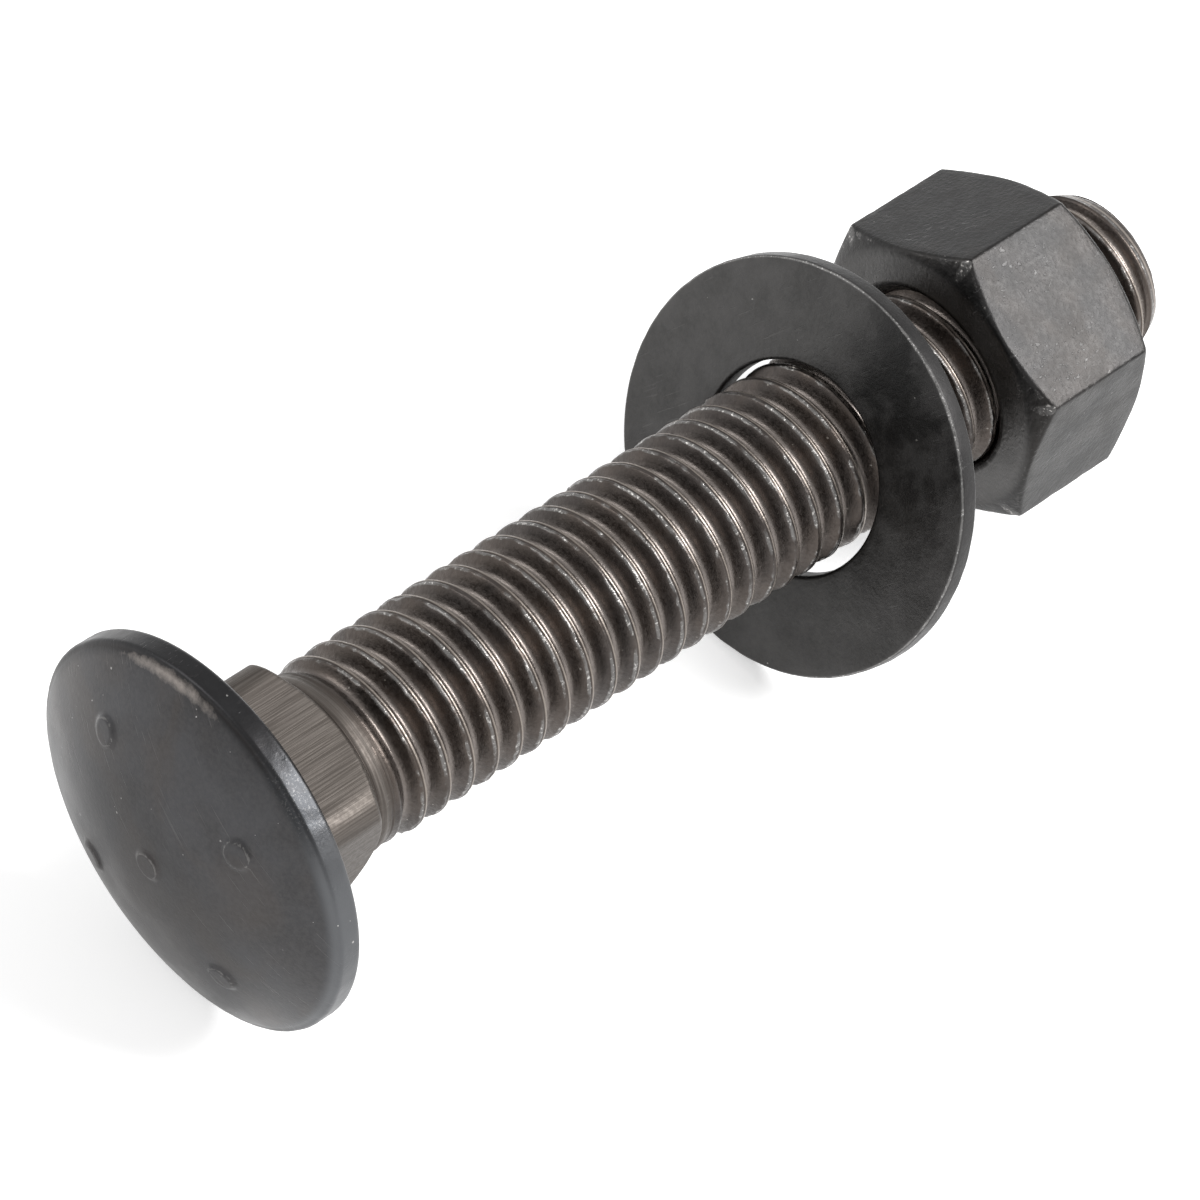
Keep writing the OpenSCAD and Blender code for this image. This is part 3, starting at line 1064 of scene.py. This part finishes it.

# %% [markdown]
# ## Washer
# The washer is satin charcoal, mottled in broad darker stains, with a sector of
# painted shade on one side of the hole and a thin bright line along its outer
# edges.

# %% Washer finish
washer_finish, tree, place = new_finish("blackened_washer")
tones = use(tree, mottle, place, {"Cloud Scale": 380.0, "Grain Scale": 2800.0, "Stain Scale": 110.0})
edge_worn = use(tree, worn_and_lit, place, {"Where": "edge", "Amount": 0.5, "Scale": 900.0, "Softness": 0.4})
dust = use(tree, specks, place, {"Scale": 1500.0, "Amount": 0.09, "Size": 0.11})
marks = use(tree, scratches, place, {
    "Turn": (0.9, 0.0, 0.0), "Scale": 6000.0, "Stretch": (0.3, 0.03, 1.0),
})
painted_shade_breakup = remap(tree, tones["Cloud"], 0.1, 0.9, 1.0, 0.6)
painted_shade_mask = times(tree, attribute(tree, "painted_shade"), painted_shade_breakup)
colour = blend_colour(tree, tones["Cloud"], (0.05, 0.049, 0.048), (0.078, 0.076, 0.075))
colour = coats(tree, colour, [
    (tones["Stain"], 0.35, (0.035, 0.034, 0.034)),
    (tones["Grain"], 0.25, (0.085, 0.083, 0.08)),
    (marks["Mask"], 0.22, (0.13, 0.128, 0.125)),
    # painted shade: that sector is painted nearly black, broken up by the mottle
    (painted_shade_mask, 0.9, (0.02, 0.02, 0.02)),
    ("wall", 0.85, (0.03, 0.029, 0.029)),
    (edge_worn["Mask"], 0.6, (0.22, 0.215, 0.21)),
    (edge_worn["Glint"], 0.7, (0.5, 0.49, 0.48)),
    (dust["Mask"], 0.7, (0.35, 0.34, 0.33)),
])
relief = number(tree, "SUBTRACT", tones["Grain"], times(tree, marks["Mask"], 0.7))
finish(tree, colour, tones["Cloud"], 0.38, 0.48, relief, 0.01)

# %% [markdown]
# ## Nut
# The nut is darker than the washer. Its flats have fine straight scratches
# from spanners, its edges are soft grey lines, and only the tips of its
# corners are bright.

# %% Nut finish
nut_finish, tree, place = new_finish("blackened_nut")
tones = use(tree, mottle, place, {"Cloud Scale": 420.0, "Grain Scale": 3000.0, "Stain Scale": 150.0})
edge_worn = use(tree, worn_and_lit, place, {
    "Where": "wear", "Amount": 0.42, "Scale": 1600.0, "Softness": 0.35, "Glint Scale": 5000.0,
})
dust = use(tree, specks, place, {"Scale": 1600.0, "Amount": 0.08, "Size": 0.1})
marks = use(tree, scratches, place, {
    "Turn": (0.2, 0.6, 0.4), "Scale": 3800.0, "Stretch": (0.05, 1.0, 1.0), "Level": 0.62,
})
colour = blend_colour(tree, tones["Cloud"], (0.018, 0.0175, 0.0175), (0.028, 0.0275, 0.0275))
colour = coats(tree, colour, [
    (tones["Stain"], 0.4, (0.028, 0.025, 0.023)),
    (tones["Grain"], 0.25, (0.055, 0.054, 0.053)),
    (marks["Mask"], 0.35, (0.085, 0.084, 0.083)),
    # wear and painted light on both end faces
    ("face_wear_and_light", 0.85, (0.125, 0.122, 0.12)),
    (edge_worn["Mask"], 0.55, (0.13, 0.127, 0.125)),
    (edge_worn["Glint"], 0.75, (0.5, 0.48, 0.46)),
    (dust["Mask"], 0.6, (0.25, 0.24, 0.23)),
    ("bore", 0.6, (0.03, 0.026, 0.024)),
])
relief = number(tree, "SUBTRACT", tones["Grain"], times(tree, marks["Mask"], 0.8))
finish(tree, colour, tones["Cloud"], 0.36, 0.46, relief, 0.012)

# %% [markdown]
# ## Onto the frame
# Each skin takes its finish, stands for its solid, and moves with that solid's
# body.

# %% Pieces onto the frame
dressed = [
    (bolt_head, head_finish, "bolt", "bolt_steel"),
    (bolt_neck, neck_finish, "bolt", "bolt_steel"),
    (bolt_thread, thread_finish, "bolt", "bolt_steel"),
    (plain_washer, washer_finish, "washer", "washer_steel"),
    (hex_nut, nut_finish, "nut", "nut_steel"),
]
for piece, material, node, slot in dressed:
    piece.data.materials.append(material)
    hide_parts(node)
    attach(piece, node)
print(len(dressed), "pieces on the frame")

# %% [markdown]
# ## Floor and light
# The object was shot on white. The floor is pale and takes the object's
# shadow. A part of its light is its own, but only for rays from the camera and
# for reflections, so it looks white and steel shows it as white, while it
# adds nothing to the light that falls on the bolt.

# %% Shown as white
own_light = 0.5


def shown(tree):
    """The own light for rays from the camera, off gloss or through glass, and 0 for others."""
    rays = put(tree, "ShaderNodeLightPath").outputs
    mirrored = number(tree, "MAXIMUM", rays["Is Glossy Ray"], rays["Is Transmission Ray"])
    return times(tree, number(tree, "MAXIMUM", rays["Is Camera Ray"], mirrored), own_light)


print("own light", own_light)

# %% Floor
floor_mesh = bpy.data.meshes.new("floor")
floor_z = cad_box[0][2]
wide = 2.0
floor_mesh.from_pydata(
    [(-wide, -wide, floor_z), (wide, -wide, floor_z), (wide, wide, floor_z), (-wide, wide, floor_z)],
    [], [(0, 1, 2, 3)],
)
floor = bpy.data.objects.new("floor", floor_mesh)
bpy.context.collection.objects.link(floor)

floor_paint = bpy.data.materials.new("pale_floor")
floor_paint.use_nodes = True
tree = floor_paint.node_tree
tree.nodes.clear()
paint = put(tree, "ShaderNodeBsdfDiffuse", {"Color": (0.8, 0.8, 0.8, 1)})
glow = put(tree, "ShaderNodeEmission", {"Strength": shown(tree)})
both = put(tree, "ShaderNodeAddShader", {0: paint.outputs[0], 1: glow.outputs[0]})
put(tree, "ShaderNodeOutputMaterial", {"Surface": both.outputs[0]})
floor_mesh.materials.append(floor_paint)
print("floor at", round(floor_z / MM, 2), "mm")

# %% World
world = bpy.data.worlds.new("studio")
bpy.context.scene.world = world
world.use_nodes = True
tree = world.node_tree
tree.nodes.clear()
plain_light = 0.5
strength = plus(tree, shown(tree), plain_light)
sky = put(tree, "ShaderNodeBackground", {"Color": (1, 1, 1, 1), "Strength": strength})
put(tree, "ShaderNodeOutputWorld", {"Surface": sky.outputs[0]})
print("white to the camera:", own_light + plain_light)

# %% [markdown]
# Two soft lamps light it. The key lamp stands where the nut's front right flat
# mirrors it, which makes that flat the brightest one, and the fill lamp is
# weaker and stands behind the head.

# %% Lamps
middle = Vector((0.036, 0, 0))


def soft_lamp(name, direction, reach, size, watts):
    """A square area lamp that looks at the middle of the bolt."""
    data = bpy.data.lights.new(name, "AREA")
    data.size = size
    data.energy = watts
    lamp = bpy.data.objects.new(name, data)
    towards = Vector(direction).normalized()
    lamp.location = middle + towards * reach
    lamp.rotation_euler = (-towards).to_track_quat("-Z", "Y").to_euler()
    bpy.context.collection.objects.link(lamp)
    print(name, watts, "W")


soft_lamp("key_lamp", (0.515, -0.527, 0.678), reach=0.7, size=0.35, watts=8.0)
soft_lamp("fill_lamp", (-0.5, 0.6, 0.62), reach=0.9, size=0.5, watts=2.5)

# %% [markdown]
# ## Last steps
# The plain view transform shows each colour as it is written.

# %% View settings and the end
bpy.context.scene.view_settings.view_transform = "Standard"
